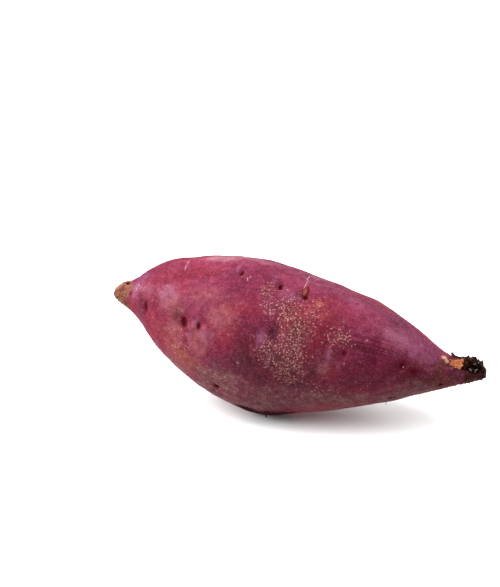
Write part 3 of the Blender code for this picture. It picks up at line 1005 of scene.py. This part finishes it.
def tube(middles, wide, thick, one, two):
    """A closed tube along a run of points, its half width along direction one and thickness along two."""
    sides, points, faces = TUBE_SIDES, [], []
    for middle, half_wide, half_thick in zip(middles, wide, thick):
        for j in range(sides):
            turn = math.tau * j / sides
            points.append(middle + one * half_wide * math.cos(turn) + two * half_thick * math.sin(turn))
    last = (len(middles) - 1) * sides
    for start in range(0, last, sides):
        for j in range(sides):
            after = (j + 1) % sides
            faces.append((start + j, start + after, start + sides + after, start + sides + j))
    return points, faces + [tuple(range(sides))[::-1], tuple(range(last, last + sides))]


def shard(rng, point, forwards, sideways, length, width, thickness):
    """A ragged flake with a bend in it, its root a little below the point."""
    thin = np.cross(forwards, sideways)
    bend = rng.uniform(-FLAKE_BEND, FLAKE_BEND) * length
    shares = np.linspace(0, 1, FLAKE_RINGS)
    middles = [point + forwards * length * (t - FLAKE_SUNK) + thin * bend * t * t for t in shares]
    wide = [width / 2 * (1 - FLAKE_TAPER * t**TAPER_POWER) * rng.uniform(*UNEVEN_WIDTH) for t in shares]
    thick = [thickness / 2 * (1 - FLAKE_THINNING * t) * rng.uniform(*UNEVEN_THICKNESS) for t in shares]
    return tube(middles, wide, thick, sideways, thin)


def add_stem_crust(form):
    """Loose dried flakes on the blackened break, and the curled peel that stands at the torn strip."""
    rng = np.random.default_rng(CRUST_SEED)
    parts = []
    for along, angle, length, width, lean in STANDING_PEEL:
        point, outwards, ahead, around = surface_at(form, along, angle)
        forwards = outwards * math.cos(lean) - ahead * math.sin(lean)
        sideways = ahead * math.cos(lean) + outwards * math.sin(lean)
        parts.append(shard(rng, point, forwards, sideways, length, width, STANDING_THICKNESS))
    rings, columns = np.nonzero(form.char > CRUST_ON)
    for k in rng.integers(0, len(rings), CRUST_FLAKES):
        place = rings[k], columns[k]
        point, outwards, ahead, around = surface_at(form, form.along[place], math.degrees(form.angle[place]))
        spin = rng.uniform(0, math.tau)
        flat = ahead * math.cos(spin) + around * math.sin(spin)
        rise = rng.uniform(*FLAKE_RISE)
        forwards = flat * math.cos(rise) + outwards * math.sin(rise)
        sizes = [rng.uniform(*limits) for limits in (FLAKE_LENGTH, FLAKE_WIDTH, FLAKE_THICKNESS)]
        parts.append(shard(rng, point, forwards, np.cross(outwards, flat), *sizes))
    add_piece("stem_crust", merged_mesh("stem_crust", parts), crust_material(form))


def add_rootlets(form):
    """Dried hair roots, thin and bent."""
    rng = np.random.default_rng(ROOTLET_SEED)
    parts = []
    shares = np.linspace(0, 1, ROOTLET_RINGS)
    for along, angle, length, thick in ROOTLETS:
        point, outwards, ahead, around = surface_at(form, along, angle)
        drift = ahead * rng.uniform(-DRIFT_AHEAD, DRIFT_AHEAD)
        drift = drift + around * rng.uniform(-DRIFT_ROUND, DRIFT_ROUND)
        middles = [point + outwards * length * (t - ROOTLET_SUNK) + drift * length * t * t for t in shares]
        radii = [thick / 2 * (1 - ROOTLET_TAPER * t) + ROOTLET_END for t in shares]
        parts.append(tube(middles, radii, radii, ahead, around))
    add_piece("rootlets", merged_mesh("rootlets", parts), rootlet_material())


# Stage

def add_floor():
    half = FLOOR_SIZE / 2
    corners = [(-half, -half, 0), (half, -half, 0), (half, half, 0), (-half, half, 0)]
    mesh = new_mesh("floor", corners, [(0, 1, 2, 3)])
    mesh.materials.append(floor_material())
    floor = add_object("floor", mesh)
    # The light from below is set in the world, so the floor itself sends none up.
    floor.visible_diffuse = False
    return floor


def add_sun(name, direction, strength, spread):
    sun = bpy.data.lights.new(name, "SUN")
    sun.energy = strength
    sun.angle = math.radians(spread)
    light = add_object(name, sun)
    light.rotation_euler = (-Vector(direction)).to_track_quat("-Z", "Y").to_euler()
    return light


def add_suns(floor):
    """The suns, and one for the floor alone, which keeps it white close to the root."""
    for name, sun in SUNS.items():
        add_sun(name, *sun)
    light = add_sun("floor_light", *FLOOR_SUN)
    lit = bpy.data.collections.new("floor_only")
    lit.objects.link(floor)
    light.light_linking.receiver_collection = lit


def add_world():
    """Dim white light, with what a white floor would send back coming from below."""
    world = bpy.data.worlds.new("studio")
    world.use_nodes = True
    nodes, link = world.node_tree.nodes, world.node_tree.links.new
    kinds = ("SeparateXYZ", "MapRange", "ValToRGB")
    height, scaled, ramp = (nodes.new("ShaderNode" + kind) for kind in kinds)
    link(nodes.new("ShaderNodeTexCoord").outputs["Generated"], height.inputs[0])
    link(height.outputs["Z"], scaled.inputs["Value"])
    scaled.inputs["From Min"].default_value = -1.0
    link(scaled.outputs["Result"], ramp.inputs[0])
    link(ramp.outputs[0], nodes["Background"].inputs["Color"])
    ramp.color_ramp.elements[0].color = (*[BELOW_LIGHT] * 3, 1)
    ramp.color_ramp.elements[1].color = (*[OVERHEAD_LIGHT] * 3, 1)
    ramp.color_ramp.elements[0].position = HORIZON[0]
    level = ramp.color_ramp.elements.new(HORIZON[1])
    level.color = (*[LEVEL_LIGHT] * 3, 1)
    bpy.context.scene.world = world


def add_camera():
    azimuth, elevation = math.radians(CAMERA_AZIMUTH), math.radians(CAMERA_ELEVATION)
    level = math.cos(elevation)
    back = Vector((math.sin(azimuth) * level, -math.cos(azimuth) * level, math.sin(elevation)))
    camera = add_object("camera", bpy.data.cameras.new("camera"))
    camera.data.lens = CAMERA_LENS
    camera.data.sensor_width = CAMERA_SENSOR
    camera.data.clip_start = CAMERA_CLIP
    camera.location = (Vector(CAMERA_TARGET) + back * CAMERA_DISTANCE) * METRES
    camera.rotation_mode = "QUATERNION"
    camera.rotation_quaternion = (-back).to_track_quat("-Z", "Y")
    bpy.context.scene.camera = camera


add_camera()
add_world()
add_suns(add_floor())
root_form = Form()
add_skin(root_form)
add_stem_crust(root_form)
add_rootlets(root_form)

view = bpy.context.scene.view_settings
view.view_transform = "Standard"
